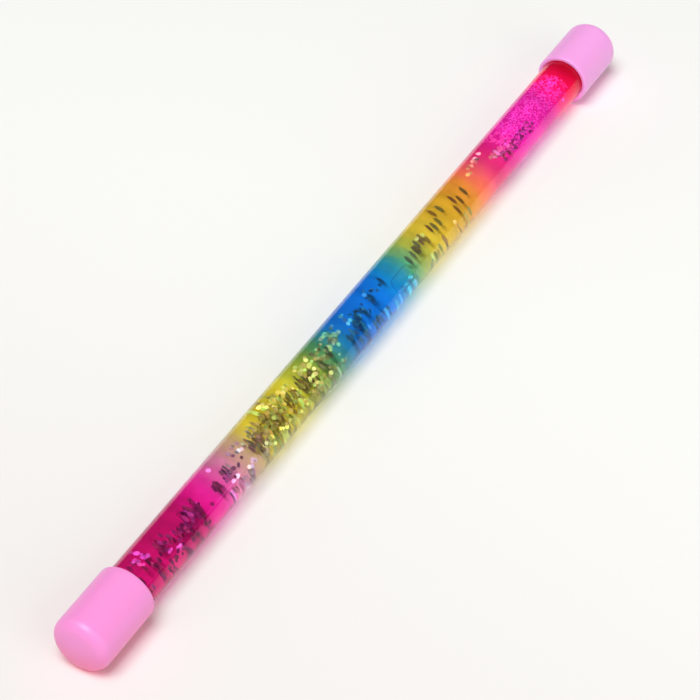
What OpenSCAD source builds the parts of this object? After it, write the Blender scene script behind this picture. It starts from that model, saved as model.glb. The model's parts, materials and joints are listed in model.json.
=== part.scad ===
// Glitter wand: a clear tube of liquid and glitter with a printed film, two stoppers and two push-on caps.
// It lies on a flat surface along X, near end at -X, with the origin under its middle.

/* [Tube] */
// Length of the clear tube
tube_len = 305; // [200:1:400]
// Outside diameter of the tube
tube_od = 15; // [13:0.5:25]
// Wall of the tube
tube_wall = 1.2; // [0.8:0.1:1.8]
// Chamfer on the tube's end edges
tube_chamfer = 0.25; // [0.1:0.05:0.35]

/* [Film] */
// Thickness of the printed film
film_t = 0.12; // [0.08:0.01:0.25]
// Gap between the film and the bore
film_fit = 0.05; // [0.02:0.01:0.1]
// Gap between the film's ends and the stoppers
film_end_gap = 0.3; // [0.1:0.1:2]
// Width of the open seam between the film's edges
film_seam = 0.3; // [0.2:0.1:2]
// Turn of the seam round the tube, counted from the underside
film_seam_turn = 236; // [0:1:359]

/* [Stoppers] */
// Reach of a stopper into the tube
stopper_reach = 10; // [7:0.5:16]
// Thickness of the flange that stops on the tube's end
stopper_flange_t = 2; // [1:0.1:3]
// Step from the tube's outside in to the flange's rim
stopper_flange_step = 0.4; // [0.2:0.1:1]
// Gap between the sealing ribs and the bore
stopper_fit = 0.02; // [0.01:0.01:0.05]
// Height of a sealing rib over the stopper's core
stopper_rib_h = 0.4; // [0.2:0.05:0.6]
// Number of sealing ribs
stopper_ribs = 3; // [1:1:4]
// Wall round the stopper's hollow
stopper_wall = 1.5; // [1:0.1:2]
// Taper at the stopper's nose
stopper_nose = 0.8; // [0.3:0.1:1]

/* [Caps] */
// Length of a cap
cap_len = 25; // [18:0.5:40]
// Wall round the cap's socket
cap_wall = 1.45; // [1.2:0.05:2.5]
// Thickness of the cap's closed end
cap_end_t = 3; // [2:0.1:5]
// Gap between the socket and the tube
cap_fit = 0.05; // [0.02:0.01:0.1]
// Gap between the stopper's flange and the socket's floor
cap_seat = 0.2; // [0.1:0.05:0.5]
// Rounding of the closed end's edge
cap_round = 3.4; // [2:0.1:5]
// Radius of the closed end's crown
cap_crown_r = 30; // [20:1:80]
// Rounding of the rim
cap_lip = 0.6; // [0.3:0.05:0.8]
// Bevel inside the mouth
cap_mouth_bevel = 0.3; // [0.1:0.05:0.4]

/* [Liquid] */
// Gap between the liquid and what holds it
liquid_fit = 0.03; // [0.02:0.01:0.1]
// Gap that the liquid leaves round each flake
flake_gap = 0.05; // [0.02:0.01:0.08]
// Diameter of the air bubble
bubble_d = 4.6; // [3:0.1:5]
// Length of the air bubble
bubble_len = 11; // [8:0.5:14]
// Turn of the bubble round the tube, counted from the underside
bubble_turn = 245; // [0:5:359]
// Liquid between the bubble and the film
bubble_skin = 0.2; // [0.1:0.05:0.5]

/* [Glitter] */
// Width of a coarse flake, corner to corner
flake_w = 1.6; // [1.2:0.1:2]
// Thickness of a coarse flake
flake_t = 0.12; // [0.1:0.01:0.2]
// Width of a fine flake, corner to corner
fine_w = 0.7; // [0.4:0.1:1]
// Thickness of a fine flake
fine_t = 0.1; // [0.08:0.01:0.15]
// Free space between the lanes that flakes drift along
lane_gap = 0.15; // [0.1:0.05:0.4]
// Free space between the places along a lane
place_gap = 0.35; // [0.2:0.05:1]
// Liquid between the outermost lanes and the film
lane_skin = 0.15; // [0.1:0.05:0.5]
// Draw of the random places
glitter_seed = 11; // [1:1:99]

/* [Hidden] */
$fn = 64;

// Every cut runs past the faces it opens by this much
overrun = 1;

tube_r = tube_od / 2;
bore_r = tube_r - tube_wall;

film_r = bore_r - film_fit;
film_len = tube_len - 2 * (stopper_reach + film_end_gap);
film_seam_angle = 180 * film_seam / (PI * film_r);

stopper_core_r = bore_r - stopper_fit - stopper_rib_h;
stopper_flange_r = tube_r - stopper_flange_step;
stopper_hollow_r = stopper_core_r - stopper_wall;
stopper_rib_pitch = stopper_reach / (stopper_ribs + 1);

cap_socket_r = tube_r + cap_fit;
cap_r = cap_socket_r + cap_wall;
cap_socket_depth = cap_len - cap_end_t;
cap_mouth_x = tube_len / 2 + stopper_flange_t + cap_seat - cap_socket_depth;
// The end's rounding meets its crown without a step
cap_round_x = cap_r - cap_round;
cap_round_y = cap_len - cap_crown_r + sqrt(pow(cap_crown_r - cap_round, 2) - pow(cap_round_x, 2));
cap_crown_x = cap_round_x * cap_crown_r / (cap_crown_r - cap_round);

liquid_r = film_r - film_t - liquid_fit;
liquid_len = tube_len - 2 * (stopper_reach + liquid_fit);
bubble_r = bubble_d / 2;
bubble_off = liquid_r - bubble_skin - bubble_r;

// Middle of the bubble along the liquid
bubble_share = 0.553;
// Start and end of each cloud along the liquid, then the share of its places that hold a flake
near_shares = [0.05, 0.18, 0.42];
pale_shares = [0.19, 0.245, 0.7];
gold_shares = [0.25, 0.43, 0.8];
blue_shares = [0.44, 0.53, 0.4];
amber_shares = [0.6, 0.735, 0.25];
far_shares = [0.75, 0.875, 0.5];
fine_shares = [0.78, 0.955, 0.35];
cloud_shares = [near_shares, pale_shares, gold_shares, blue_shares, amber_shares, far_shares, fine_shares];
fine_cloud = 6;
clouds = len(cloud_shares);
// Most tilt of a flake out of the tube's own curve, in degrees
flake_tilt = 55;

// Rings of parallel lanes fill the liquid; a flake turned any way stays inside its lane
lane_pitch = flake_w + lane_gap;
outer_lane_r = liquid_r - lane_skin - flake_w / 2;
lane_rings = floor((outer_lane_r - lane_pitch / 2) / lane_pitch) + 1;
function lane_r(ring) = outer_lane_r - ring * lane_pitch;
function lanes_in(ring) = floor(180 / asin(lane_pitch / (2 * lane_r(ring))));
lanes = [
    for (ring = [0 : lane_rings - 1])
        for (i = [0 : lanes_in(ring) - 1])
            [lane_r(ring), 360 * i / lanes_in(ring)]
];
// Every cloud has lanes of its own, so clouds drift past each other
function lanes_of(cloud) = [for (i = [cloud : clouds : len(lanes) - 1]) lanes[i]];

function width_of(cloud) = cloud == fine_cloud ? fine_w : flake_w;
function thickness_of(cloud) = cloud == fine_cloud ? fine_t : flake_t;

// Lays a piece made along Z down along X, at the height of the caps
module laid_down() {
    translate([0, 0, cap_r]) rotate([0, 90, 0]) children();
}

module flake(width, thickness, grow) {
    cylinder(d = width + 2 * grow, h = thickness + 2 * grow, center = true, $fn = 6);
}

// One cloud of flakes, each in its own place along a lane, grown all round by grow
module cloud(number, grow = 0) {
    shares = cloud_shares[number];
    own_lanes = lanes_of(number);
    width = width_of(number);
    pitch = width + place_gap;
    start = (shares[0] - 0.5) * liquid_len;
    places = floor((shares[1] - shares[0]) * liquid_len / pitch);
    draws = 5;
    roll = rands(0, 1, len(own_lanes) * places * draws, glitter_seed + number);
    for (i = [0 : len(own_lanes) - 1])
        for (j = [0 : places - 1]) {
            k = (i * places + j) * draws;
            if (roll[k] < shares[2])
                rotate([0, 0, own_lanes[i][1]])
                    translate([own_lanes[i][0], 0, start + (j + 0.5) * pitch + (roll[k + 1] - 0.5) * place_gap])
                        rotate([flake_tilt * (2 * roll[k + 2] - 1), 90 + flake_tilt * (2 * roll[k + 3] - 1), 0])
                            rotate([0, 0, 60 * roll[k + 4]])
                                flake(width, thickness_of(number), grow);
        }
}

module clear_tube() {
    half = tube_len / 2;
    color([0.88, 0.94, 1, 0.25]) laid_down()
        rotate_extrude()
            polygon([
                [bore_r, tube_chamfer - half], [bore_r + tube_chamfer, -half],
                [tube_r - tube_chamfer, -half], [tube_r, tube_chamfer - half],
                [tube_r, half - tube_chamfer], [tube_r - tube_chamfer, half],
                [bore_r + tube_chamfer, half], [bore_r, half - tube_chamfer]
            ]);
}

module rainbow_film() {
    color([0.95, 0.2, 0.6, 0.5]) laid_down()
        rotate([0, 0, film_seam_turn + film_seam_angle / 2])
            rotate_extrude(angle = 360 - film_seam_angle)
                translate([film_r - film_t, -film_len / 2]) square([film_t, film_len]);
}

module bubble() {
    straight = bubble_len - bubble_d;
    rotate([0, 0, bubble_turn]) translate([bubble_off, 0, (bubble_share - 0.5) * liquid_len]) {
        cylinder(r = bubble_r, h = straight, center = true);
        for (end = [-1, 1]) translate([0, 0, end * straight / 2]) sphere(r = bubble_r);
    }
}

module glitter_liquid() {
    color([0.9, 0.95, 1, 0.3]) laid_down()
        difference() {
            cylinder(r = liquid_r, h = liquid_len, center = true);
            for (number = [0 : clouds - 1]) cloud(number, flake_gap);
            bubble();
        }
}

// A hollow stopper with its nose at -Z, stopped by its flange at Z = 0
module stopper() {
    rib_r = stopper_core_r + stopper_rib_h;
    ribs = [
        for (i = [1 : stopper_ribs])
            let (y = -i * stopper_rib_pitch)
                each [
                    [stopper_core_r, y + stopper_rib_h], [rib_r, y + stopper_rib_h / 2],
                    [rib_r, y - stopper_rib_h / 2], [stopper_core_r, y - stopper_rib_h]
                ]
    ];
    rotate_extrude()
        difference() {
            polygon(concat(
                [[0, stopper_flange_t], [stopper_flange_r, stopper_flange_t], [stopper_flange_r, 0]],
                [[stopper_core_r, 0]], ribs, [[stopper_core_r, stopper_nose - stopper_reach]],
                [[stopper_core_r - stopper_nose, -stopper_reach], [0, -stopper_reach]]
            ));
            translate([0, stopper_wall - stopper_reach])
                square([stopper_hollow_r, stopper_reach + stopper_flange_t]);
        }
}

module near_stopper() {
    color("gainsboro") laid_down() mirror([0, 0, 1]) translate([0, 0, tube_len / 2]) stopper();
}

module far_stopper() {
    color("gainsboro") laid_down() translate([0, 0, tube_len / 2]) stopper();
}

// Half of the cap's section, its mouth at Y = 0
module cap_section() {
    difference() {
        union() {
            translate([0, cap_lip]) square([cap_r, cap_round_y - cap_lip]);
            square([cap_r - cap_lip, cap_lip]);
            translate([cap_r - cap_lip, cap_lip]) circle(r = cap_lip);
            translate([cap_round_x, cap_round_y]) circle(r = cap_round);
            intersection() {
                translate([0, cap_len - cap_crown_r]) circle(r = cap_crown_r);
                square([cap_crown_x, cap_len]);
            }
        }
        translate([0, -overrun]) square([cap_socket_r, cap_socket_depth + overrun]);
        polygon([
            [0, -overrun], [cap_socket_r + cap_mouth_bevel + overrun, -overrun],
            [cap_socket_r, cap_mouth_bevel], [0, cap_mouth_bevel]
        ]);
    }
}

module cap() {
    translate([0, 0, cap_mouth_x]) rotate_extrude() cap_section();
}

module near_cap() {
    color("hotpink") laid_down() mirror([0, 0, 1]) cap();
}

module far_cap() {
    color("hotpink") laid_down() cap();
}

module near_flakes() {
    color("silver") laid_down() cloud(0);
}

module pale_flakes() {
    color("silver") laid_down() cloud(1);
}

module gold_flakes() {
    color("silver") laid_down() cloud(2);
}

module blue_flakes() {
    color("silver") laid_down() cloud(3);
}

module amber_flakes() {
    color("silver") laid_down() cloud(4);
}

module far_flakes() {
    color("silver") laid_down() cloud(5);
}

module fine_flakes() {
    color("violet") laid_down() cloud(fine_cloud);
}

clear_tube();
rainbow_film();
glitter_liquid();
near_stopper();
far_stopper();
near_cap();
far_cap();
near_flakes();
pale_flakes();
gold_flakes();
blue_flakes();
amber_flakes();
far_flakes();
fine_flakes();
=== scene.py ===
# Glitter wand: a clear tube of liquid and drifting glitter inside a rainbow film, with two pink caps
import json
import math

import bmesh
import bpy
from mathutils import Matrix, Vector


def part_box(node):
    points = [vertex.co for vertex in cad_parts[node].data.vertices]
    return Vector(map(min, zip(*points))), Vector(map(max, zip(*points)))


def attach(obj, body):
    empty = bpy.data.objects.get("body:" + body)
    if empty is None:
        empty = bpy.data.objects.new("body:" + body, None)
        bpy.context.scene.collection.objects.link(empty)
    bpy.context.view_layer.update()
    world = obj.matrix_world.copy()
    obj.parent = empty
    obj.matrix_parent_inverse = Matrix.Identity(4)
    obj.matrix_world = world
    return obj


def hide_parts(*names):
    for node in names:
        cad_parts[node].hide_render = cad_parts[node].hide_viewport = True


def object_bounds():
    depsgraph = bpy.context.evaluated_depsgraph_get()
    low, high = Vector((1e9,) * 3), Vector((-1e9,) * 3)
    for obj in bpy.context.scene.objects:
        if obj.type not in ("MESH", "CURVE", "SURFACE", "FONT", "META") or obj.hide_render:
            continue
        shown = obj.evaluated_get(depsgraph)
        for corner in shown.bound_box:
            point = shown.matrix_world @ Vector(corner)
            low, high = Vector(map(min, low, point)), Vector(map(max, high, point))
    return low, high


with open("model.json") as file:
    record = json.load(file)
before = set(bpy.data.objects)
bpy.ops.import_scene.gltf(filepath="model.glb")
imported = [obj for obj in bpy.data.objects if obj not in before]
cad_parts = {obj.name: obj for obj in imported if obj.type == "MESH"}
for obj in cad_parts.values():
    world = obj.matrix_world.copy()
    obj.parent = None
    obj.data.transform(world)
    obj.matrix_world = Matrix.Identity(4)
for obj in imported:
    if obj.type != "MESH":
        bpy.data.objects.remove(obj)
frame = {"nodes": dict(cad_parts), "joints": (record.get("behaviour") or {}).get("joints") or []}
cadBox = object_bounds()
mm = 0.001
weld = 1e-7             # points closer than this, in metres, are one
white = (1, 1, 1, 1)
scene = bpy.context.scene
scene.view_settings.view_transform = "Standard"
scene.cycles.transparent_max_bounces = 96   # the film, bore and liquid are many clear layers
scene.cycles.max_bounces = 24
scene.cycles.transmission_bounces = 16

# everything turns about one line along X; turn 0 is the underside, 90 is +Y, 180 the top
tubeLow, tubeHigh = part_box("clear_tube")
tubeRadius = (tubeHigh.z - tubeLow.z) / 2
axisZ = (tubeHigh.z + tubeLow.z) / 2
filmLow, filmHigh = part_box("rainbow_film")
liquidLow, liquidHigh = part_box("glitter_liquid")
print("frame loaded, tube radius", round(tubeRadius / mm, 2), "mm")


# Mesh helpers

def aroundAxis(x, radius, turn):
    angle = math.radians(turn)
    return Vector((x, radius * math.sin(angle), axisZ - radius * math.cos(angle)))


def arc(x, radius, bend, start, end, steps):
    points = []
    for i in range(steps + 1):
        angle = math.radians(start + (end - start) * i / steps)
        points.append((x + bend * math.cos(angle), radius + bend * math.sin(angle)))
    return points


def ringsToFaces(mesh, rings, closed):
    for low, high in zip(rings, rings[1:]):
        count = len(low)
        for i in range(count if closed else count - 1):
            j = (i + 1) % count
            mesh.faces.new((low[i], low[j], high[j], high[i]))


def latheInto(mesh, outline, steps):
    # outline is (x, radius) from one pole or edge to the other
    rings = []
    for x, radius in outline:
        turns = [360 * i / steps for i in range(steps)]
        rings.append([mesh.verts.new(aroundAxis(x, radius, turn)) for turn in turns])
    ringsToFaces(mesh, rings, True)
    return rings


def makePiece(name, mesh, materials, smooth=True):
    data = bpy.data.meshes.new(name)
    mesh.to_mesh(data)
    mesh.free()
    for material in materials:
        data.materials.append(material)
    if smooth:
        data.shade_smooth()
    piece = bpy.data.objects.new(name, data)
    scene.collection.objects.link(piece)
    return piece


# Shader helpers

def newMaterial(name):
    material = bpy.data.materials.new(name)
    material.use_nodes = True
    tree = material.node_tree
    tree.nodes.clear()
    return material, tree, tree.nodes.new("ShaderNodeOutputMaterial")


def node(tree, kind, **inputs):
    made = tree.nodes.new(kind)
    for key, value in inputs.items():
        made.inputs[key.replace("_", " ")].default_value = value
    return made


def link(tree, output, target):
    tree.links.new(output, target)


def fillRamp(ramp, stops):
    while len(ramp.elements) > 1:
        ramp.elements.remove(ramp.elements[-1])
    for i, (place, colour) in enumerate(stops):
        element = ramp.elements[0] if i == 0 else ramp.elements.new(place)
        element.position = place
        element.color = (*colour, 1)


def colourMix(tree, blend="MIX"):
    made = tree.nodes.new("ShaderNodeMix")
    made.data_type = "RGBA"
    made.blend_type = blend
    first, second = (next(i for i in made.inputs if i.name == n and i.type == "RGBA") for n in "AB")
    return made, first, second, next(o for o in made.outputs if o.type == "RGBA")


def clearShader(tree, ior, colour):
    return node(
        tree, "ShaderNodeBsdfPrincipled", Base_Color=colour, Roughness=0.0, IOR=ior, Transmission_Weight=1,
    )


def litThrough(tree, out, shader, colour=white):
    # light from a lamp passes on in this colour, and every other ray meets the shader
    lamps = node(tree, "ShaderNodeBsdfTransparent", Color=colour)
    path = tree.nodes.new("ShaderNodeLightPath")
    mix = tree.nodes.new("ShaderNodeMixShader")
    link(tree, path.outputs["Is Shadow Ray"], mix.inputs["Fac"])
    link(tree, shader.outputs[0], mix.inputs[1])
    link(tree, lamps.outputs[0], mix.inputs[2])
    link(tree, mix.outputs[0], out.inputs["Surface"])


# Rainbow tint: shares of the film's length, then the colour seen through the whole tube
rainbow = {
    "shift": -2.3 * mm, "noiseLow": 0.3, "noiseHigh": 0.7,
    # bands that run into each other unevenly
    "waver": 0.007, "waverScale": 190, "waverDetail": 2,
    # thin and full patches of ink
    "thin": 0.68, "full": 1.2, "cloudScale": 120, "cloudDetail": 3,
    # four faces of tint and one of print make the colour
    "shares": {"Tint": 0.13, "Print": 0.48, "Glow": 0.32},
    "stops": [
        (0.04, (0.50, 0.003, 0.12)),
        (0.10, (0.48, 0.003, 0.11)),
        (0.15, (0.48, 0.003, 0.12)),
        (0.175, (0.56, 0.003, 0.19)),
        (0.20, (0.64, 0.03, 0.28)),
        (0.232, (0.54, 0.21, 0.32)),
        (0.258, (0.44, 0.31, 0.16)),
        (0.285, (0.70, 0.55, 0.03)),
        (0.345, (0.70, 0.56, 0.03)),
        (0.375, (0.44, 0.46, 0.04)),
        (0.404, (0.20, 0.33, 0.05)),
        (0.432, (0.03, 0.23, 0.15)),
        (0.46, (0.004, 0.135, 0.54)),
        (0.545, (0.003, 0.15, 0.58)),
        (0.572, (0.005, 0.21, 0.33)),
        (0.602, (0.19, 0.34, 0.08)),
        (0.622, (0.58, 0.45, 0.035)),
        (0.71, (0.60, 0.33, 0.018)),
        (0.735, (0.66, 0.22, 0.032)),
        (0.768, (0.68, 0.075, 0.125)),
        (0.802, (0.66, 0.010, 0.18)),
        (0.845, (0.68, 0.010, 0.33)),
        (0.93, (0.69, 0.010, 0.31)),
        (0.955, (0.92, 0.004, 0.11)),
        (0.985, (0.74, 0.003, 0.06)),
    ],
}


def rainbowGroup():
    group = bpy.data.node_groups.new("rainbowAlongTube", "ShaderNodeTree")
    for label in ("Start", "End"):
        group.interface.new_socket(label, in_out="INPUT", socket_type="NodeSocketFloat")
    for label in rainbow["shares"]:
        group.interface.new_socket(label, in_out="OUTPUT", socket_type="NodeSocketColor")
    start = group.nodes.new("NodeGroupInput")
    end = group.nodes.new("NodeGroupOutput")
    place = group.nodes.new("ShaderNodeTexCoord")
    split = group.nodes.new("ShaderNodeSeparateXYZ")
    share = group.nodes.new("ShaderNodeMapRange")
    ramp = group.nodes.new("ShaderNodeValToRGB")
    ramp.color_ramp.interpolation = "EASE"
    fillRamp(ramp.color_ramp, rainbow["stops"])
    link(group, place.outputs["Object"], split.inputs[0])
    link(group, split.outputs["X"], share.inputs["Value"])
    link(group, start.outputs["Start"], share.inputs["From Min"])
    link(group, start.outputs["End"], share.inputs["From Max"])
    waver = node(group, "ShaderNodeTexNoise", Scale=rainbow["waverScale"], Detail=rainbow["waverDetail"])
    drift = node(group, "ShaderNodeMapRange", To_Min=-rainbow["waver"], To_Max=rainbow["waver"])
    moved = group.nodes.new("ShaderNodeMath")
    cloudy = node(group, "ShaderNodeTexNoise", Scale=rainbow["cloudScale"], Detail=rainbow["cloudDetail"])
    ink = node(group, "ShaderNodeMapRange", To_Min=rainbow["thin"], To_Max=rainbow["full"])
    uneven = group.nodes.new("ShaderNodeVectorMath")
    uneven.operation = "SCALE"
    for noise, spread in ((waver, drift), (cloudy, ink)):
        spread.inputs["From Min"].default_value = rainbow["noiseLow"]
        spread.inputs["From Max"].default_value = rainbow["noiseHigh"]
        link(group, place.outputs["Object"], noise.inputs["Vector"])
        link(group, noise.outputs["Fac"], spread.inputs["Value"])
    link(group, share.outputs["Result"], moved.inputs[0])
    link(group, drift.outputs["Result"], moved.inputs[1])
    link(group, moved.outputs[0], ramp.inputs["Fac"])
    link(group, ramp.outputs["Color"], uneven.inputs[0])
    link(group, ink.outputs["Result"], uneven.inputs["Scale"])
    for label, power in rainbow["shares"].items():
        part = node(group, "ShaderNodeGamma", Gamma=power)
        link(group, uneven.outputs["Vector"], part.inputs["Color"])
        link(group, part.outputs["Color"], end.inputs[label])
    return group


rainbowTint = rainbowGroup()


def placeRainbow(tree):
    tint = tree.nodes.new("ShaderNodeGroup")
    tint.node_tree = rainbowTint
    tint.inputs["Start"].default_value = filmLow.x + rainbow["shift"]
    tint.inputs["End"].default_value = filmHigh.x + rainbow["shift"]
    return tint


# Clear tube: polished outside, and a bore that the liquid wets, so light goes straight on there
tube = {
    "wall": 1.2 * mm, "chamfer": 0.25 * mm, "steps": 128, "rings": 12, "ior": 1.14, "shine": 0.15,
    "gloss": 0.6, "glossIor": 1.45, "glossBlur": 0.02,      # mirrors the table along the tube's sides
    "boreTint": (0.99, 0.995, 1, 1), "sharp": 30,
}


def clearPlastic():
    material, tree, out = newMaterial("clearPlastic")
    shader = clearShader(tree, tube["ior"], white)
    shader.inputs["Specular IOR Level"].default_value = tube["shine"]
    shader.inputs["Coat Weight"].default_value = tube["gloss"]
    shader.inputs["Coat IOR"].default_value = tube["glossIor"]
    shader.inputs["Coat Roughness"].default_value = tube["glossBlur"]
    litThrough(tree, out, shader)
    return material


def wettedBore():
    material, tree, out = newMaterial("wettedBore")
    clear = node(tree, "ShaderNodeBsdfTransparent", Color=tube["boreTint"])
    link(tree, clear.outputs[0], out.inputs["Surface"])
    return material


def makeTube():
    bore = tubeRadius - tube["wall"]
    cut = tube["chamfer"]
    half = tubeHigh.x
    mesh = bmesh.new()
    outside = [(-half, bore + cut), (-half, tubeRadius - cut), (-half + cut, tubeRadius)]
    for i in range(1, tube["rings"]):
        outside.append((-half + 2 * half * i / tube["rings"], tubeRadius))
    outside += [(half - cut, tubeRadius), (half, tubeRadius - cut), (half, bore + cut)]
    inside = [(half - cut, bore), (-half + cut, bore)]
    latheInto(mesh, outside + inside + outside[:1], tube["steps"])
    bmesh.ops.remove_doubles(mesh, verts=mesh.verts, dist=weld)
    bmesh.ops.recalc_face_normals(mesh, faces=mesh.faces)
    middle = bore + tube["wall"] / 2
    for face in mesh.faces:
        centre = face.calc_center_median()
        face.material_index = 1 if math.hypot(centre.y, centre.z - axisZ) < middle - cut else 0
    piece = makePiece("tube", mesh, [clearPlastic(), wettedBore()])
    piece.data.set_sharp_from_angle(angle=math.radians(tube["sharp"]))
    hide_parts("clear_tube")
    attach(piece, "wand")


makeTube()
print("tube done")


# Rainbow film: one rolled sheet with a narrow seam, open at the near end and nearly shut from there on.
# Its inside is milky, so the wall behind glows
film = {
    "thickness": 0.12 * mm, "steps": 128, "rings": 24, "sharp": 30,
    "lookIn": -0.5,         # share of the radius, under which a face counts as the inside
    "seam": 0.15 * mm, "seamFar": 0.02 * mm, "seamTurn": 236, "openRings": 6,
    "milky": 0.8, "shade": (0.45, 0.45, 0.45, 1),
}


def filmOutside():
    material, tree, out = newMaterial("filmOutside")
    tint = placeRainbow(tree)
    clear = tree.nodes.new("ShaderNodeBsdfTransparent")
    shade = tree.nodes.new("ShaderNodeBsdfTransparent")
    path = tree.nodes.new("ShaderNodeLightPath")
    side = tree.nodes.new("ShaderNodeNewGeometry")
    entering = tree.nodes.new("ShaderNodeMath")         # light from a lamp, on its way in, loses most here
    entering.operation = "GREATER_THAN"
    link(tree, path.outputs["Is Shadow Ray"], entering.inputs[0])
    link(tree, side.outputs["Backfacing"], entering.inputs[1])
    mix = tree.nodes.new("ShaderNodeMixShader")
    dim, dimA, dimB, dimmed = colourMix(tree, "MULTIPLY")
    dim.inputs["Factor"].default_value = 1.0
    dimB.default_value = film["shade"]
    link(tree, tint.outputs["Glow"], dimA)
    link(tree, dimmed, shade.inputs["Color"])
    link(tree, tint.outputs["Tint"], clear.inputs["Color"])
    link(tree, entering.outputs[0], mix.inputs["Fac"])
    link(tree, clear.outputs[0], mix.inputs[1])
    link(tree, shade.outputs[0], mix.inputs[2])
    link(tree, mix.outputs[0], out.inputs["Surface"])
    return material


def filmInside():
    material, tree, out = newMaterial("filmInside")
    tint = placeRainbow(tree)
    clear = tree.nodes.new("ShaderNodeBsdfTransparent")
    milky = tree.nodes.new("ShaderNodeBsdfDiffuse")
    path = tree.nodes.new("ShaderNodeLightPath")
    side = tree.nodes.new("ShaderNodeNewGeometry")
    facing = tree.nodes.new("ShaderNodeMath")           # seen from inside the tube, through its wall
    facing.operation = "GREATER_THAN"
    link(tree, path.outputs["Is Transmission Ray"], facing.inputs[0])
    link(tree, side.outputs["Backfacing"], facing.inputs[1])
    amount = node(tree, "ShaderNodeMath")
    amount.operation = "MULTIPLY"
    amount.inputs[1].default_value = film["milky"]
    link(tree, facing.outputs[0], amount.inputs[0])
    mix = tree.nodes.new("ShaderNodeMixShader")
    link(tree, tint.outputs["Tint"], clear.inputs["Color"])
    link(tree, tint.outputs["Print"], milky.inputs["Color"])
    link(tree, amount.outputs[0], mix.inputs["Fac"])
    link(tree, clear.outputs[0], mix.inputs[1])
    link(tree, milky.outputs[0], mix.inputs[2])
    link(tree, mix.outputs[0], out.inputs["Surface"])
    return material


def makeFilm():
    outer = (filmHigh.z - filmLow.z) / 2
    inner = outer - film["thickness"]
    mesh = bmesh.new()
    skins = []
    for radius in (outer, inner):
        rings = []
        for i in range(film["rings"] + 1):
            x = filmLow.x + (filmHigh.x - filmLow.x) * i / film["rings"]
            seam = film["seam"] if i < film["openRings"] else film["seamFar"]
            gap = math.degrees(seam / outer)
            first = film["seamTurn"] + gap / 2
            sweep = 360 - gap
            turns = [first + sweep * j / film["steps"] for j in range(film["steps"] + 1)]
            rings.append([mesh.verts.new(aroundAxis(x, radius, turn)) for turn in turns])
        ringsToFaces(mesh, rings, False)
        skins.append(rings)
    outside, inside = skins
    for end in (0, -1):                       # the two round edges
        ringsToFaces(mesh, [outside[end], inside[end]], False)
    for side in (0, -1):                      # the two cut edges along the seam
        ringsToFaces(mesh, [[r[side] for r in outside], [r[side] for r in inside]], False)
    bmesh.ops.recalc_face_normals(mesh, faces=mesh.faces)
    for face in mesh.faces:
        centre = face.calc_center_median()
        outward = Vector((0, centre.y, centre.z - axisZ)).dot(face.normal)
        face.material_index = 1 if outward < film["lookIn"] * inner else 0
    piece = makePiece("film", mesh, [filmOutside(), filmInside()])
    piece.data.set_sharp_from_angle(angle=math.radians(film["sharp"]))
    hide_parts("rainbow_film")
    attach(piece, "wand")


makeFilm()
print("film done")


# Liquid with one long air bubble under the film
liquid = {
    "colour": (0.995, 1, 1, 1), "ior": 1.15, "steps": 96, "sharp": 50,
    "bubbleWidth": 4.6 * mm, "bubbleLength": 11 * mm, "bubbleTurn": 245, "bubbleSkin": 0.2 * mm,
    "bubbleShare": 0.553, "bubbleSteps": 48, "bubbleEndSteps": 12, "bubbleIor": 1.05,
}


def clearLiquid():
    material, tree, out = newMaterial("clearLiquid")
    shader = clearShader(tree, liquid["ior"], liquid["colour"])
    shader.inputs["Specular IOR Level"].default_value = 0.0
    litThrough(tree, out, shader)
    return material


def bubbleSkin():
    material, tree, out = newMaterial("bubbleSkin")
    litThrough(tree, out, clearShader(tree, liquid["bubbleIor"], white))
    return material


def makeLiquid():
    radius = (liquidHigh.z - liquidLow.z) / 2
    low, high = liquidLow.x, liquidHigh.x
    mesh = bmesh.new()
    rings = latheInto(mesh, [(low, radius), (high, radius)], liquid["steps"])
    mesh.faces.new(rings[0])
    mesh.faces.new(reversed(rings[1]))
    bmesh.ops.recalc_face_normals(mesh, faces=mesh.faces)
    columnFaces = set(mesh.faces)
    bend = liquid["bubbleWidth"] / 2
    straight = liquid["bubbleLength"] - liquid["bubbleWidth"]
    middle = low + (high - low) * liquid["bubbleShare"]
    outline = arc(middle - straight / 2, 0, bend, 180, 90, liquid["bubbleEndSteps"])
    outline += arc(middle + straight / 2, 0, bend, 90, 0, liquid["bubbleEndSteps"])
    bubbleRings = latheInto(mesh, [(x, max(r, 0)) for x, r in outline], liquid["bubbleSteps"])
    offset = aroundAxis(0, radius - liquid["bubbleSkin"] - bend, liquid["bubbleTurn"]) - Vector((0, 0, axisZ))
    for ring in bubbleRings:
        for vert in ring:
            vert.co += offset
    bmesh.ops.remove_doubles(mesh, verts=mesh.verts, dist=weld)
    bubbleFaces = [face for face in mesh.faces if face not in columnFaces]
    bmesh.ops.recalc_face_normals(mesh, faces=bubbleFaces)
    bmesh.ops.reverse_faces(mesh, faces=bubbleFaces)     # a hollow's faces look into the air
    for face in bubbleFaces:
        face.material_index = 1
    piece = makePiece("liquid", mesh, [clearLiquid(), bubbleSkin()])
    piece.data.set_sharp_from_angle(angle=math.radians(liquid["sharp"]))
    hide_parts("glitter_liquid")
    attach(piece, "wand")


makeLiquid()
print("liquid done")


# Stoppers keep their solids and get a milky moulded finish
stopper = {
    "colour": (0.80, 0.80, 0.78, 1), "rough": 0.5,
    "grain": 900, "grainDepth": 0.2 * mm, "grainShare": 0.02,
}


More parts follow.
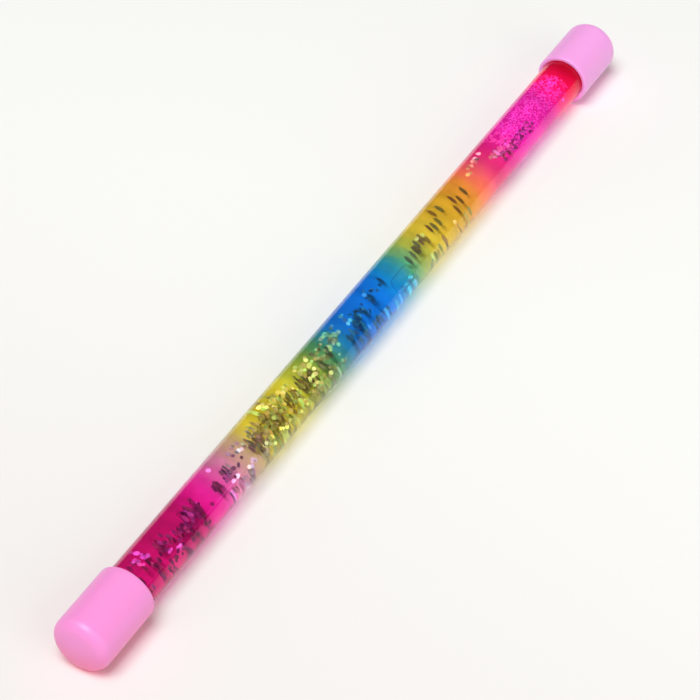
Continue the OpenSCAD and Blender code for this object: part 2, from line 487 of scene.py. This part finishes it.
def milkyPlastic():
    material, tree, out = newMaterial("milkyPlastic")
    shader = node(tree, "ShaderNodeBsdfPrincipled", Base_Color=stopper["colour"], Roughness=stopper["rough"])
    place = tree.nodes.new("ShaderNodeTexCoord")
    grain = node(tree, "ShaderNodeTexNoise", Scale=stopper["grain"])
    bump = node(tree, "ShaderNodeBump", Strength=stopper["grainShare"], Distance=stopper["grainDepth"])
    link(tree, place.outputs["Object"], grain.inputs["Vector"])
    link(tree, grain.outputs["Fac"], bump.inputs["Height"])
    link(tree, bump.outputs["Normal"], shader.inputs["Normal"])
    link(tree, shader.outputs[0], out.inputs["Surface"])
    return material


stopperFinish = milkyPlastic()
for name in ("near_stopper", "far_stopper"):
    frame["nodes"][name].data.materials.clear()
    frame["nodes"][name].data.materials.append(stopperFinish)
print("stoppers done")


# Caps: soft vinyl with a rounded closed end
cap = {
    "socket": 7.55 * mm, "endThickness": 3 * mm, "round": 3.4 * mm, "crown": 30 * mm,
    "lip": 0.6 * mm, "bevel": 0.3 * mm, "sharp": 40,
    "steps": 128, "lipSteps": 6, "sideSteps": 6, "roundSteps": 16, "crownSteps": 12,
    "nearColour": (1.0, 0.31, 0.70, 1), "farColour": (1.0, 0.41, 0.84, 1),
    # painted floor light on the caps' lower side: its colour, and the height where it fades out
    "paintedFloorLightColour": (1.0, 0.21, 0.42, 1), "paintedFloorLightBelow": 1.5,       # times the axis height
    "glow": (0.58, 0.18, 0.32, 1), "rough": 0.36,
    "soft": 0.4, "softRadius": (1.0, 0.35, 0.45), "softDepth": 1.6 * mm,
    "dimples": 140, "dimpleDetail": 2, "dimpleShare": 0.14, "dimpleDepth": 0.6 * mm,
}


def softVinyl():
    material, tree, out = newMaterial("softVinyl")
    shader = node(
        tree, "ShaderNodeBsdfPrincipled", Roughness=cap["rough"], Subsurface_Weight=cap["soft"],
        Subsurface_Radius=cap["softRadius"], Subsurface_Scale=cap["softDepth"],
    )
    place = tree.nodes.new("ShaderNodeTexCoord")
    split = tree.nodes.new("ShaderNodeSeparateXYZ")
    share = node(tree, "ShaderNodeMapRange", From_Min=cadBox[0].x, From_Max=cadBox[1].x)
    # painted light: the vinyl is made warmer low down, standing in for floor light that comes through it, and
    # most so on the near cap
    low = node(tree, "ShaderNodeMapRange", From_Min=cap["paintedFloorLightBelow"] * axisZ, From_Max=0.0)
    low.interpolation_type = "SMOOTHSTEP"
    near = node(tree, "ShaderNodeMapRange", From_Min=0.0, From_Max=cadBox[0].x)
    paintedFloorLightShare = tree.nodes.new("ShaderNodeMath")
    paintedFloorLightShare.operation = "MULTIPLY"
    mix, colourA, colourB, pink = colourMix(tree)
    colourA.default_value = cap["nearColour"]
    colourB.default_value = cap["farColour"]
    paintedFloorLightMix, paintedFloorLightA, paintedFloorLightB, withPaintedFloorLight = colourMix(tree)
    paintedFloorLightB.default_value = cap["paintedFloorLightColour"]
    dimples = node(tree, "ShaderNodeTexNoise", Scale=cap["dimples"], Detail=cap["dimpleDetail"])
    bump = node(tree, "ShaderNodeBump", Strength=cap["dimpleShare"], Distance=cap["dimpleDepth"])
    link(tree, place.outputs["Object"], split.inputs[0])
    link(tree, split.outputs["X"], share.inputs["Value"])
    link(tree, split.outputs["Z"], low.inputs["Value"])
    link(tree, share.outputs["Result"], mix.inputs["Factor"])
    link(tree, split.outputs["X"], near.inputs["Value"])
    link(tree, low.outputs["Result"], paintedFloorLightShare.inputs[0])
    link(tree, near.outputs["Result"], paintedFloorLightShare.inputs[1])
    link(tree, paintedFloorLightShare.outputs[0], paintedFloorLightMix.inputs["Factor"])
    link(tree, pink, paintedFloorLightA)
    link(tree, withPaintedFloorLight, shader.inputs["Base Color"])
    link(tree, place.outputs["Object"], dimples.inputs["Vector"])
    link(tree, dimples.outputs["Fac"], bump.inputs["Height"])
    link(tree, bump.outputs["Normal"], shader.inputs["Normal"])
    litThrough(tree, out, shader, cap["glow"])
    return material


def makeCap(name, nodeName, body, material):
    low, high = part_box(nodeName)
    radius = (high.z - low.z) / 2
    length = high.x - low.x
    far = high.x > 0
    lip, bend, crown = cap["lip"], cap["round"], cap["crown"]
    # section from the mouth to the closed end, its mouth at 0
    cornerRadius = radius - bend
    cornerX = length - crown + math.sqrt((crown - bend) ** 2 - cornerRadius ** 2)
    join = math.degrees(math.asin(cornerRadius / (crown - bend)))
    socketEnd = length - cap["endThickness"]
    outline = [(socketEnd, 0), (socketEnd, cap["socket"]), (cap["bevel"], cap["socket"])]
    outline += [(0, cap["socket"] + cap["bevel"])]
    outline += arc(lip, radius - lip, lip, 180, 90, cap["lipSteps"])
    outline += [(cornerX * i / cap["sideSteps"], radius) for i in range(1, cap["sideSteps"])]
    outline += arc(cornerX, cornerRadius, bend, 90, join, cap["roundSteps"])
    outline += arc(length - crown, 0, crown, join, 0, cap["crownSteps"])[1:]
    mesh = bmesh.new()
    place = (lambda x: low.x + x) if far else (lambda x: high.x - x)
    latheInto(mesh, [(place(x), max(r, 0)) for x, r in outline], cap["steps"])
    bmesh.ops.remove_doubles(mesh, verts=mesh.verts, dist=weld)
    bmesh.ops.recalc_face_normals(mesh, faces=mesh.faces)
    piece = makePiece(name, mesh, [material])
    piece.data.set_sharp_from_angle(angle=math.radians(cap["sharp"]))
    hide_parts(nodeName)
    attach(piece, body)


vinyl = softVinyl()
makeCap("nearCap", "near_cap", "near_end", vinyl)
makeCap("farCap", "far_cap", "far_end", vinyl)
print("caps done")


# Glitter: hexagon flakes, laid out cluster by cluster
flake = {
    "sides": 6, "width": 1.6 * mm, "thickness": 0.06 * mm, "fineWidth": 0.62 * mm, "fineThickness": 0.04 * mm,
    "least": 0.58, "clearance": 0.05 * mm, "smoothest": 0.3, "roughest": 0.5, "seedStep": 20,
}


def clusterTree():
    tree = bpy.data.node_groups.new("flakeCluster", "GeometryNodeTree")
    sockets = [
        ("Count", "NodeSocketInt"), ("Middle", "NodeSocketFloat"), ("Length", "NodeSocketFloat"),
        ("Turn", "NodeSocketFloat"), ("Turn Spread", "NodeSocketFloat"), ("Depth", "NodeSocketFloat"),
        ("Depth Spread", "NodeSocketFloat"), ("Width", "NodeSocketFloat"), ("Thickness", "NodeSocketFloat"),
        ("Tilt", "NodeSocketFloat"), ("Aim", "NodeSocketFloat"), ("Glance", "NodeSocketVector"),
        ("Darkest", "NodeSocketFloat"), ("Brightest", "NodeSocketFloat"), ("Axis Height", "NodeSocketFloat"),
        ("From", "NodeSocketFloat"), ("To", "NodeSocketFloat"), ("Bore", "NodeSocketFloat"),
        ("Least", "NodeSocketFloat"), ("Seed", "NodeSocketInt"), ("Finish", "NodeSocketMaterial"),
    ]
    tree.interface.new_socket("Geometry", in_out="INPUT", socket_type="NodeSocketGeometry")
    for name, kind in sockets:
        tree.interface.new_socket(name, in_out="INPUT", socket_type=kind)
    tree.interface.new_socket("Geometry", in_out="OUTPUT", socket_type="NodeSocketGeometry")
    nodes = tree.nodes
    start = nodes.new("NodeGroupInput")
    end = nodes.new("NodeGroupOutput")

    def given(name):
        return start.outputs[name]

    def math2(operation, a, b=None):
        made = nodes.new("ShaderNodeMath")
        made.operation = operation
        for i, value in enumerate((a, b)):
            if value is None:
                continue
            if isinstance(value, (int, float)):
                made.inputs[i].default_value = value
            else:
                link(tree, value, made.inputs[i])
        return made.outputs[0]

    def draw(number, low=0.0, high=1.0):
        made = nodes.new("FunctionNodeRandomValue")
        made.data_type = "FLOAT"
        for socket, value in (("Min", low), ("Max", high)):
            target = next(s for s in made.inputs if s.name == socket and s.type == "VALUE")
            if isinstance(value, (int, float)):
                target.default_value = value
            else:
                link(tree, value, target)
        seed = math2("ADD", given("Seed"), number)
        link(tree, seed, made.inputs["Seed"])
        return next(s for s in made.outputs if s.type == "VALUE")

    def bell(number):                      # gathers about zero, between -1 and 1
        return math2("SUBTRACT", math2("ADD", draw(number), draw(number + 1)), 1.0)

    x = math2("ADD", given("Middle"), math2("MULTIPLY", math2("SUBTRACT", draw(1), 0.5), given("Length")))
    # folded back at the reach's two ends
    x = math2("SUBTRACT", given("To"), math2("ABSOLUTE", math2("SUBTRACT", given("To"), x)))
    x = math2("ADD", given("From"), math2("ABSOLUTE", math2("SUBTRACT", x, given("From"))))
    turn = math2("ADD", given("Turn"), math2("MULTIPLY", bell(2), given("Turn Spread")))

    outward = nodes.new("ShaderNodeCombineXYZ")
    link(tree, math2("SINE", turn), outward.inputs["Y"])
    link(tree, math2("MULTIPLY", math2("COSINE", turn), -1.0), outward.inputs["Z"])
    looks = nodes.new("ShaderNodeMix")     # from square on the wall to square on the lamp's glance
    looks.data_type = "VECTOR"
    link(tree, given("Aim"), looks.inputs["Factor"])
    looksA, looksB = (next(i for i in looks.inputs if i.name == n and i.type == "VECTOR") for n in "AB")
    link(tree, outward.outputs[0], looksA)
    link(tree, given("Glance"), looksB)
    upright = nodes.new("FunctionNodeAlignRotationToVector")
    upright.axis = "Z"
    link(tree, next(o for o in looks.outputs if o.type == "VECTOR"), upright.inputs["Vector"])
    lean = nodes.new("ShaderNodeCombineXYZ")
    link(tree, math2("MULTIPLY", bell(6), given("Tilt")), lean.inputs["X"])
    link(tree, math2("MULTIPLY", bell(8), given("Tilt")), lean.inputs["Y"])
    spin = nodes.new("ShaderNodeCombineXYZ")
    link(tree, draw(10, 0.0, math.tau), spin.inputs["Z"])
    turned = upright
    for angles in (lean, spin):
        tumble = nodes.new("FunctionNodeEulerToRotation")
        link(tree, angles.outputs[0], tumble.inputs[0])
        both = nodes.new("FunctionNodeRotateRotation")
        both.rotation_space = "LOCAL"
        link(tree, turned.outputs[0], both.inputs["Rotation"])
        link(tree, tumble.outputs[0], both.inputs["Rotate By"])
        turned = both

    facing = nodes.new("FunctionNodeRotateVector")
    facing.inputs["Vector"].default_value = (0, 0, 1)
    link(tree, turned.outputs[0], facing.inputs["Rotation"])
    square = nodes.new("ShaderNodeVectorMath")
    square.operation = "DOT_PRODUCT"
    link(tree, facing.outputs[0], square.inputs[0])
    link(tree, outward.outputs[0], square.inputs[1])
    flatness = math2("POWER", math2("ABSOLUTE", square.outputs["Value"]), 2.0)
    onEdge = math2("SQRT", math2("SUBTRACT", 1.0, flatness))
    corner = math2("MULTIPLY", onEdge, math2("MULTIPLY", given("Width"), 0.5))
    radius = math2("SUBTRACT", given("Depth"), math2("MULTIPLY", draw(4), given("Depth Spread")))
    # a tilted flake keeps off the film
    radius = math2("MINIMUM", radius, math2("SUBTRACT", given("Bore"), corner))
    place = nodes.new("ShaderNodeCombineXYZ")
    link(tree, x, place.inputs["X"])
    link(tree, math2("MULTIPLY", radius, math2("SINE", turn)), place.inputs["Y"])
    drop = math2("MULTIPLY", radius, math2("COSINE", turn))
    link(tree, math2("SUBTRACT", given("Axis Height"), drop), place.inputs["Z"])
    points = nodes.new("GeometryNodePoints")
    link(tree, given("Count"), points.inputs["Count"])
    link(tree, place.outputs[0], points.inputs["Position"])

    hexagon = nodes.new("GeometryNodeMeshCylinder")
    hexagon.inputs["Vertices"].default_value = flake["sides"]
    link(tree, math2("MULTIPLY", given("Width"), 0.5), hexagon.inputs["Radius"])
    link(tree, given("Thickness"), hexagon.inputs["Depth"])
    placed = nodes.new("GeometryNodeInstanceOnPoints")
    link(tree, points.outputs[0], placed.inputs["Points"])
    link(tree, hexagon.outputs["Mesh"], placed.inputs["Instance"])
    link(tree, turned.outputs[0], placed.inputs["Rotation"])
    link(tree, draw(13, given("Least")), placed.inputs["Scale"])

    kept = placed.outputs[0]
    # painted glint: each flake's colour level, from darkest to brightest, stands in for how much light it
    # catches
    for label, value in (("paintedGlint", draw(11, given("Darkest"), given("Brightest"))), ("hue", draw(12))):
        store = nodes.new("GeometryNodeStoreNamedAttribute")
        store.data_type = "FLOAT"
        store.domain = "INSTANCE"
        store.inputs["Name"].default_value = label
        link(tree, kept, store.inputs["Geometry"])
        link(tree, value, store.inputs["Value"])
        kept = store.outputs[0]
    both = nodes.new("GeometryNodeJoinGeometry")
    real = nodes.new("GeometryNodeRealizeInstances")
    finish = nodes.new("GeometryNodeSetMaterial")
    link(tree, kept, real.inputs[0])
    link(tree, real.outputs[0], finish.inputs["Geometry"])
    link(tree, given("Finish"), finish.inputs["Material"])
    link(tree, finish.outputs[0], both.inputs[0])
    link(tree, given("Geometry"), both.inputs[0])
    link(tree, both.outputs[0], end.inputs[0])
    return tree


cluster = clusterTree()
clusterSockets = {
    item.name: item.identifier
    for item in cluster.interface.items_tree
    if item.item_type == "SOCKET" and item.in_out == "INPUT"
}


def foilFlake(name, dark, middle, bright, colourful, metal, passes):
    material, tree, out = newMaterial(name)
    shader = node(tree, "ShaderNodeBsdfPrincipled", Metallic=metal)
    # painted glint: one silver foil, drawn lighter or darker per flake in its base colour, standing in for
    # flakes that catch the light or lie in shade
    paintedGlint = tree.nodes.new("ShaderNodeAttribute")
    paintedGlint.attribute_name = "paintedGlint"
    ramp = tree.nodes.new("ShaderNodeValToRGB")
    fillRamp(ramp.color_ramp, [(0.0, dark), (0.5, middle), (1.0, bright)])
    hue = tree.nodes.new("ShaderNodeAttribute")
    hue.attribute_name = "hue"
    sheen = node(tree, "ShaderNodeCombineColor", Green=colourful, Blue=1.0)
    sheen.mode = "HSV"
    foil, foilA, foilB, tinged = colourMix(tree, "MULTIPLY")
    foil.inputs["Factor"].default_value = 1.0
    rough = node(tree, "ShaderNodeMapRange", To_Min=flake["smoothest"], To_Max=flake["roughest"])
    link(tree, paintedGlint.outputs["Fac"], ramp.inputs["Fac"])
    link(tree, hue.outputs["Fac"], sheen.inputs["Red"])
    link(tree, ramp.outputs["Color"], foilA)
    link(tree, sheen.outputs["Color"], foilB)
    link(tree, tinged, shader.inputs["Base Color"])
    link(tree, hue.outputs["Fac"], rough.inputs["Value"])
    link(tree, rough.outputs["Result"], shader.inputs["Roughness"])
    litThrough(tree, out, shader, (passes, passes, passes, 1))
    return material


# colours by painted glint (lit and shaded flakes), how much the hue wanders, how metallic, and the light that
# gets past the foil
silver = foilFlake(
    "silverFlake", dark=(0.27, 0.21, 0.26), middle=(0.56, 0.53, 0.48), bright=(0.86, 1.0, 1.0),
    colourful=0.22, metal=0.45, passes=0.5,
)
violet = foilFlake(
    "violetFlake", dark=(0.84, 0.36, 0.70), middle=(1.0, 0.56, 0.90), bright=(1.0, 0.74, 1.0),
    colourful=0.1, metal=0.1, passes=0.9,
)

wallDepth = 5.75        # millimetres from the axis to a flake on the upper wall
bedDepth = 5.2          # to one that has sunk to the wall below
fineDepth = 6.0         # and to the fine ones, right under the film


def rows(*items):
    names = (
        "count", "middle", "length", "turn", "spread", "depth", "depthSpread",
        "tilt", "aim", "dark", "bright",
    )
    return [dict(zip(names, item)) for item in items]


# painted shade: these flakes get only the darkest glint, standing in for the shade on the wall below
def sunk(*places):          # single dark flakes lying on the wall below, by place along X in mm and turn
    return rows(*((1, x, 0, turn, 2, bedDepth, 0.3, 14, 0, 0.0, 0.2) for x, turn in places))


# each row: flakes, middle and length along X in mm, turn and spread in degrees, depth and its spread in mm,
# tilt in degrees, how far they are turned to catch the lamp, then the darkest and brightest painted glint
clouds = {
    "nearCloud": {
        "node": "near_flakes", "body": "near_cloud", "seed": 100, "finish": silver, "slot": "flake",
        "rows": rows(
            (7, -126.9, 1.0, 176, 32, wallDepth, 0.3, 16, 1, 0.8, 1.0),
            (10, -123.8, 1.8, 170, 44, wallDepth, 0.3, 16, 1, 0.8, 1.0),
            (3, -117.3, 1.6, 225, 5, wallDepth, 0.5, 12, 1, 0.8, 1.0),
            (6, -114.3, 2.0, 240, 11, wallDepth, 0.5, 12, 1, 0.8, 1.0),
            (22, -110.7, 33.0, 255, 26, wallDepth, 0.8, 34, 0.3, 0.1, 0.6),
            (20, -111.2, 32.0, 352, 14, bedDepth, 0.8, 34, 0, 0.1, 0.6),
            (15, -117.4, 8.5, 35, 17, bedDepth, 1.0, 48, 0, 0.0, 0.25),
            (13, -102.3, 7.5, 34, 16, bedDepth, 1.0, 48, 0, 0.0, 0.25),
            (46, -110.8, 33.0, 26, 30, bedDepth, 1.4, 74, 0, 0.1, 0.6),
            (12, -97.6, 7.0, 30, 22, bedDepth, 1.2, 40, 0, 0.0, 0.3),
            (16, -111.0, 31.0, 218, 34, wallDepth, 1.0, 40, 0, 0.0, 0.3),
        ),
    },
    "paleCloud": {
        "node": "pale_flakes", "body": "pale_cloud", "seed": 200, "finish": silver, "slot": "flake",
        "rows": rows(
            (9, -79.8, 4.0, 34, 10, bedDepth, 0.8, 40, 0, 0.0, 0.25),
            (6, -84.4, 3.6, 236, 4, wallDepth, 0.4, 10, 1, 0.95, 1.0),
            (2, -79.9, 1.4, 173, 6, wallDepth, 0.4, 24, 1, 0.3, 0.6),
            (8, -76.4, 4.0, 244, 16, wallDepth, 0.6, 16, 0.9, 0.6, 1.0),
            (12, -78.6, 7.0, 272, 10, wallDepth, 0.6, 24, 0.8, 0.5, 1.0),
            (10, -75.0, 7.0, 185, 34, wallDepth, 0.6, 30, 0.4, 0.2, 0.8),
            (18, -79.4, 12.0, 356, 10, bedDepth, 0.6, 30, 0.6, 0.3, 0.9),
            (8, -86.1, 2.8, 25, 10, bedDepth, 0.8, 40, 0, 0.0, 0.25),
            (1, -87.4, 0, 156, 1, wallDepth, 0.2, 6, 1, 0.9, 1.0),
            (10, -82.6, 10.0, 212, 26, wallDepth, 1.0, 40, 0, 0.0, 0.3),
        ),
    },
    "goldCloud": {
        "node": "gold_flakes", "body": "gold_cloud", "seed": 300, "finish": silver, "slot": "flake",
        "rows": rows(
            (10, -57.3, 4.0, 160, 30, wallDepth, 0.6, 30, 0.8, 0.7, 1.0),
            (16, -50.0, 7.5, 176, 24, wallDepth, 0.6, 22, 1, 0.3, 1.0),
            (16, -37.2, 7.5, 168, 28, wallDepth, 0.6, 22, 1, 0.3, 1.0),
            (28, -27.5, 11.0, 186, 34, wallDepth, 0.6, 24, 1, 0.1, 0.75),
            (9, -38.0, 5.0, 214, 12, wallDepth, 0.6, 20, 0.8, 0.4, 1.0),
            (24, -60.8, 15.0, 25, 18, bedDepth, 1.6, 26, 0, 0.0, 0.35),
            (12, -42.0, 9.0, 29, 15, bedDepth, 1.6, 26, 0, 0.0, 0.35),
            (12, -32.0, 10.0, 28, 15, bedDepth, 1.6, 26, 0, 0.0, 0.35),
            (48, -61.4, 18.0, 205, 50, wallDepth, 2.5, 44, 0.2, 0.1, 0.8),
            (54, -46.0, 46.0, 255, 28, wallDepth, 1.2, 30, 0.7, 0.4, 1.0),
            (10, -25.0, 9.0, 26, 16, bedDepth, 1.2, 44, 0, 0.0, 0.15),
            (6, -22.5, 6.0, 162, 10, wallDepth, 0.4, 18, 1, 0.2, 0.7),
            (9, -23.0, 7.0, 196, 16, wallDepth, 0.4, 20, 1, 0.1, 0.7),
            (34, -60.0, 16.0, 28, 18, bedDepth, 1.6, 84, 0, 0.0, 0.1),
            (24, -40.0, 16.0, 28, 18, bedDepth, 1.6, 84, 0, 0.0, 0.1),
            (58, -46.0, 46.0, 0, 16, bedDepth, 1.0, 44, 0, 0.5, 1.0),
            (64, -50.0, 34.0, 24, 26, bedDepth, 1.4, 64, 0, 0.1, 1.0),
            (34, -58.0, 22.0, 48, 14, bedDepth, 1.4, 60, 0, 0.3, 1.0),
        ),
    },
    "blueCloud": {
        "node": "blue_flakes", "body": "blue_cloud", "seed": 400, "finish": silver, "slot": "flake",
        "rows": rows(
            (2, -12.3, 2.0, 160, 6, wallDepth, 0.4, 14, 1, 0.5, 0.8),
            (2, -13.5, 2.0, 192, 6, wallDepth, 0.4, 14, 1, 0.5, 0.8),
            (1, -1.2, 0, 174, 2, wallDepth, 0.4, 12, 1, 0.5, 0.7),
            (15, -9.6, 9.6, 21, 14, bedDepth, 1.2, 22, 0, 0.0, 0.3),
            (16, -1.6, 18.0, 2, 10, bedDepth, 0.8, 40, 0, 0.1, 0.7),
        ) + sunk(
            (-5.0, 30), (-4.1, 33), (-1.3, 31), (-0.6, 27), (4.3, 33), (5.1, 35),
        ) + rows(
            (15, -9.4, 10.0, 204, 34, wallDepth, 0.8, 40, 0, 0.0, 0.4),
            (7, 0.6, 10.0, 188, 34, wallDepth, 0.8, 40, 0, 0.0, 0.4),
        ),
    },
    "amberCloud": {
        "node": "amber_flakes", "body": "amber_cloud", "seed": 500, "finish": silver, "slot": "flake",
        "rows": rows(
            (2, 29.9, 1.0, 184, 3, wallDepth, 0.3, 20, 1, 0.2, 0.5),
            (2, 32.1, 1.6, 193, 4, wallDepth, 0.3, 20, 1, 0.2, 0.5),
            (8, 34.9, 11.0, 358, 8, bedDepth, 0.6, 24, 0.7, 0.4, 0.9),
            (2, 43.2, 1.2, 7, 2, bedDepth, 0.4, 20, 0, 0.1, 0.4),
            (2, 45.9, 2.0, 242, 6, wallDepth, 0.5, 14, 0.9, 0.5, 0.9),
            (5, 54.0, 14.0, 4, 8, bedDepth, 0.6, 40, 0, 0.4, 1.0),
        ) + sunk(
            (29.5, 29), (31.6, 31), (32.6, 29), (35.8, 33), (37.2, 36), (38.4, 29), (42.5, 36), (44.6, 32),
            (47.2, 33), (48.7, 45), (52.0, 41), (58.5, 38), (60.6, 28), (56.7, 22), (64.6, 33), (34.0, 34),
        ),
    },
    "farCloud": {
        "node": "far_flakes", "body": "far_cloud", "seed": 600, "finish": silver, "slot": "flake",
        "rows": rows(
            (7, 73.3, 3.0, 161, 10, wallDepth, 0.5, 20, 0.9, 0.2, 0.9),
            (3, 77.4, 1.6, 153, 5, wallDepth, 0.3, 10, 1, 0.9, 1.0),
            (16, 79.0, 3.6, 201, 12, wallDepth, 0.6, 22, 0.8, 0.3, 0.9),
            (38, 84.8, 7.4, 214, 28, wallDepth, 0.8, 26, 0.6, 0.2, 0.9),
            (44, 95.0, 14.0, 224, 20, wallDepth, 0.8, 30, 0.1, 0.0, 0.5),
        ),
    },
    "fineCloud": {
        "node": "fine_flakes", "body": "fine_cloud", "seed": 700, "finish": violet, "slot": "fine_flake",
        "rows": rows(
            (900, 105.0, 42.0, 180, 60, fineDepth, 0.3, 30, 0.3, 0.1, 1.0),
            (140, 107.0, 38.0, 232, 24, fineDepth, 0.3, 30, 0.3, 0.0, 0.8),
        ),
    },
    "clingingFlakes": {         # between the clouds, stuck to the film
        "body": "wand", "seed": 800, "finish": silver, "slot": "flake",
        "rows": rows(
            (3, -18.6, 2.4, 156, 6, wallDepth, 0.4, 14, 1, 0.3, 0.6),
            (5, -19.8, 3.4, 184, 8, wallDepth, 0.4, 14, 1, 0.3, 0.6),
            (12, 17.0, 14.0, 356, 9, bedDepth, 0.6, 24, 0.7, 0.4, 0.9),
            (3, 65.8, 2.0, 176, 8, wallDepth, 0.5, 20, 0.6, 0.1, 0.7),
            (5, 69.4, 3.2, 161, 10, wallDepth, 0.5, 20, 0.9, 0.2, 0.9),
            (2, 121.8, 1.0, 259, 3, wallDepth, 0.3, 8, 1, 0.95, 1.0),
        ) + sunk((12.9, 39), (26.8, 29)),
    },
}

# half way between the camera and the lamp, as a flake inside the tube has to face to flash
glance = Vector((-0.391, -0.205, 0.897))
boreRadius = (liquidHigh.z - liquidLow.z) / 2


def reach(body, half):
    # where the middle of a flake may be, so that its cloud clears the stoppers at both limits
    low, high = next((joint["range_m"] for joint in frame["joints"] if joint["child"] == body), (0, 0))
    return liquidLow.x - low + half, liquidHigh.x - high - half


def makeCloud(name, cloud):
    holder = bpy.data.objects.new(name + "Holder", bpy.data.meshes.new(name + "Holder"))
    scene.collection.objects.link(holder)
    fine = cloud["slot"] == "fine_flake"
    width = flake["fineWidth"] if fine else flake["width"]
    thickness = flake["fineThickness"] if fine else flake["thickness"]
    bow = width ** 2 / (8 * boreRadius)     # how much nearer the round film is at a flat flake's corners
    low, high = reach(cloud["body"], width / 2 + flake["clearance"])
    for i, row in enumerate(cloud["rows"]):
        least = 1.0 if fine or row["count"] == 1 else flake["least"]
        values = {
            "Count": row["count"], "Middle": row["middle"] * mm, "Length": row["length"] * mm,
            "Turn": math.radians(row["turn"]), "Turn Spread": math.radians(row["spread"]),
            "Depth": row["depth"] * mm, "Depth Spread": row["depthSpread"] * mm,
            "Width": width, "Thickness": thickness, "Least": least,
            "From": low, "To": high, "Bore": boreRadius - thickness - bow,
            "Tilt": math.radians(row["tilt"]), "Aim": row["aim"], "Glance": glance,
            "Darkest": row["dark"], "Brightest": row["bright"], "Axis Height": axisZ,
            "Seed": cloud["seed"] + flake["seedStep"] * i, "Finish": cloud["finish"],
        }
        step = holder.modifiers.new(f"cluster{i}", "NODES")
        step.node_group = cluster
        for label, value in values.items():
            step[clusterSockets[label]] = value
    graph = bpy.context.evaluated_depsgraph_get()
    data = bpy.data.meshes.new_from_object(holder.evaluated_get(graph))
    data.name = name
    bpy.data.objects.remove(holder)
    piece = bpy.data.objects.new(name, data)
    scene.collection.objects.link(piece)
    if "node" in cloud:
        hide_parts(cloud["node"])
    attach(piece, cloud["body"])
    return piece


for name, cloud in clouds.items():
    made = makeCloud(name, cloud)
    print(name, len(made.data.polygons), "faces")


# Stage: pale floor, soft light, camera
stage = {
    # the near floor colour and its stretch along X are painted shade, standing in for the lamp's fall-off
    "half": 6.0, "paintedShadeFloor": (0.82, 0.79, 0.765, 1), "floor": (0.91, 0.91, 0.88, 1),
    "paintedShadeFrom": -0.24, "paintedShadeTo": 0.06,
    "dome": 0.25, "mirrored": 0.05, "backdrop": (0.97, 0.97, 0.95, 1),
    "key": 72.5, "keySize": 1.6, "keyPlace": (-0.90, 0.05, 2.83),
    "fill": 9.5, "fillSize": 1.4, "fillPlace": (-0.60, -1.60, 0.90),
}


def paleFloor():
    material, tree, out = newMaterial("paleFloor")
    shader = tree.nodes.new("ShaderNodeBsdfDiffuse")
    place = tree.nodes.new("ShaderNodeTexCoord")
    split = tree.nodes.new("ShaderNodeSeparateXYZ")
    share = node(tree, "ShaderNodeMapRange", From_Min=stage["paintedShadeFrom"], From_Max=stage["paintedShadeTo"])
    share.interpolation_type = "SMOOTHSTEP"
    # painted shade: the floor is made a little darker and warmer at the near end
    paintedShadeMix, paintedShadeA, paintedShadeB, paintedShadeTone = colourMix(tree)         # a little darker and warmer at the near end
    paintedShadeA.default_value = stage["paintedShadeFloor"]
    paintedShadeB.default_value = stage["floor"]
    link(tree, place.outputs["Object"], split.inputs[0])
    link(tree, split.outputs["X"], share.inputs["Value"])
    link(tree, share.outputs["Result"], paintedShadeMix.inputs["Factor"])
    link(tree, paintedShadeTone, shader.inputs["Color"])
    link(tree, shader.outputs[0], out.inputs["Surface"])
    return material


def makeFloor():
    mesh = bmesh.new()
    half = stage["half"]
    corners = ((-half, -half), (half, -half), (half, half), (-half, half))
    mesh.faces.new([mesh.verts.new((x, y, 0)) for x, y in corners])
    floor = makePiece("floor", mesh, [paleFloor()], smooth=False)


def makeWorld():
    world = bpy.data.worlds.new("softDome")
    scene.world = world
    world.use_nodes = True
    tree = world.node_tree
    tree.nodes.clear()
    out = tree.nodes.new("ShaderNodeOutputWorld")
    dome = node(tree, "ShaderNodeBackground", Color=white, Strength=stage["dome"])
    mirrored = node(tree, "ShaderNodeBackground", Color=white, Strength=stage["mirrored"])
    seen = node(tree, "ShaderNodeBackground", Color=stage["backdrop"], Strength=1)
    path = tree.nodes.new("ShaderNodeLightPath")
    glossy = tree.nodes.new("ShaderNodeMixShader")      # a dim room shows in the polished tube
    mix = tree.nodes.new("ShaderNodeMixShader")
    link(tree, path.outputs["Is Glossy Ray"], glossy.inputs["Fac"])
    link(tree, dome.outputs[0], glossy.inputs[1])
    link(tree, mirrored.outputs[0], glossy.inputs[2])
    link(tree, path.outputs["Is Camera Ray"], mix.inputs["Fac"])
    link(tree, glossy.outputs[0], mix.inputs[1])
    link(tree, seen.outputs[0], mix.inputs[2])
    link(tree, mix.outputs[0], out.inputs["Surface"])


def makeLamp(name, place, size, power):
    data = bpy.data.lights.new(name, "AREA")
    data.size = size
    data.energy = power
    lamp = bpy.data.objects.new(name, data)
    lamp.location = place
    lamp.rotation_euler = (-Vector(place)).to_track_quat("-Z", "Y").to_euler()     # at the wand's middle
    scene.collection.objects.link(lamp)


camera = {
    "place": (-0.50669, -0.28465, 0.53307), "aim": (-0.01895, -0.00459, 0.009),
    "lens": 131.83, "sensor": 36,
}


def makeCamera():
    data = bpy.data.cameras.new("camera")
    data.lens = camera["lens"]
    data.sensor_width = camera["sensor"]
    eye = bpy.data.objects.new("camera", data)
    eye.location = camera["place"]
    direction = Vector(camera["aim"]) - Vector(camera["place"])
    eye.rotation_euler = direction.to_track_quat("-Z", "Y").to_euler()
    scene.collection.objects.link(eye)
    scene.camera = eye


makeFloor()
makeWorld()
for name in ("key", "fill"):
    makeLamp(name, stage[name + "Place"], stage[name + "Size"], stage[name])
makeCamera()
print("stage done")
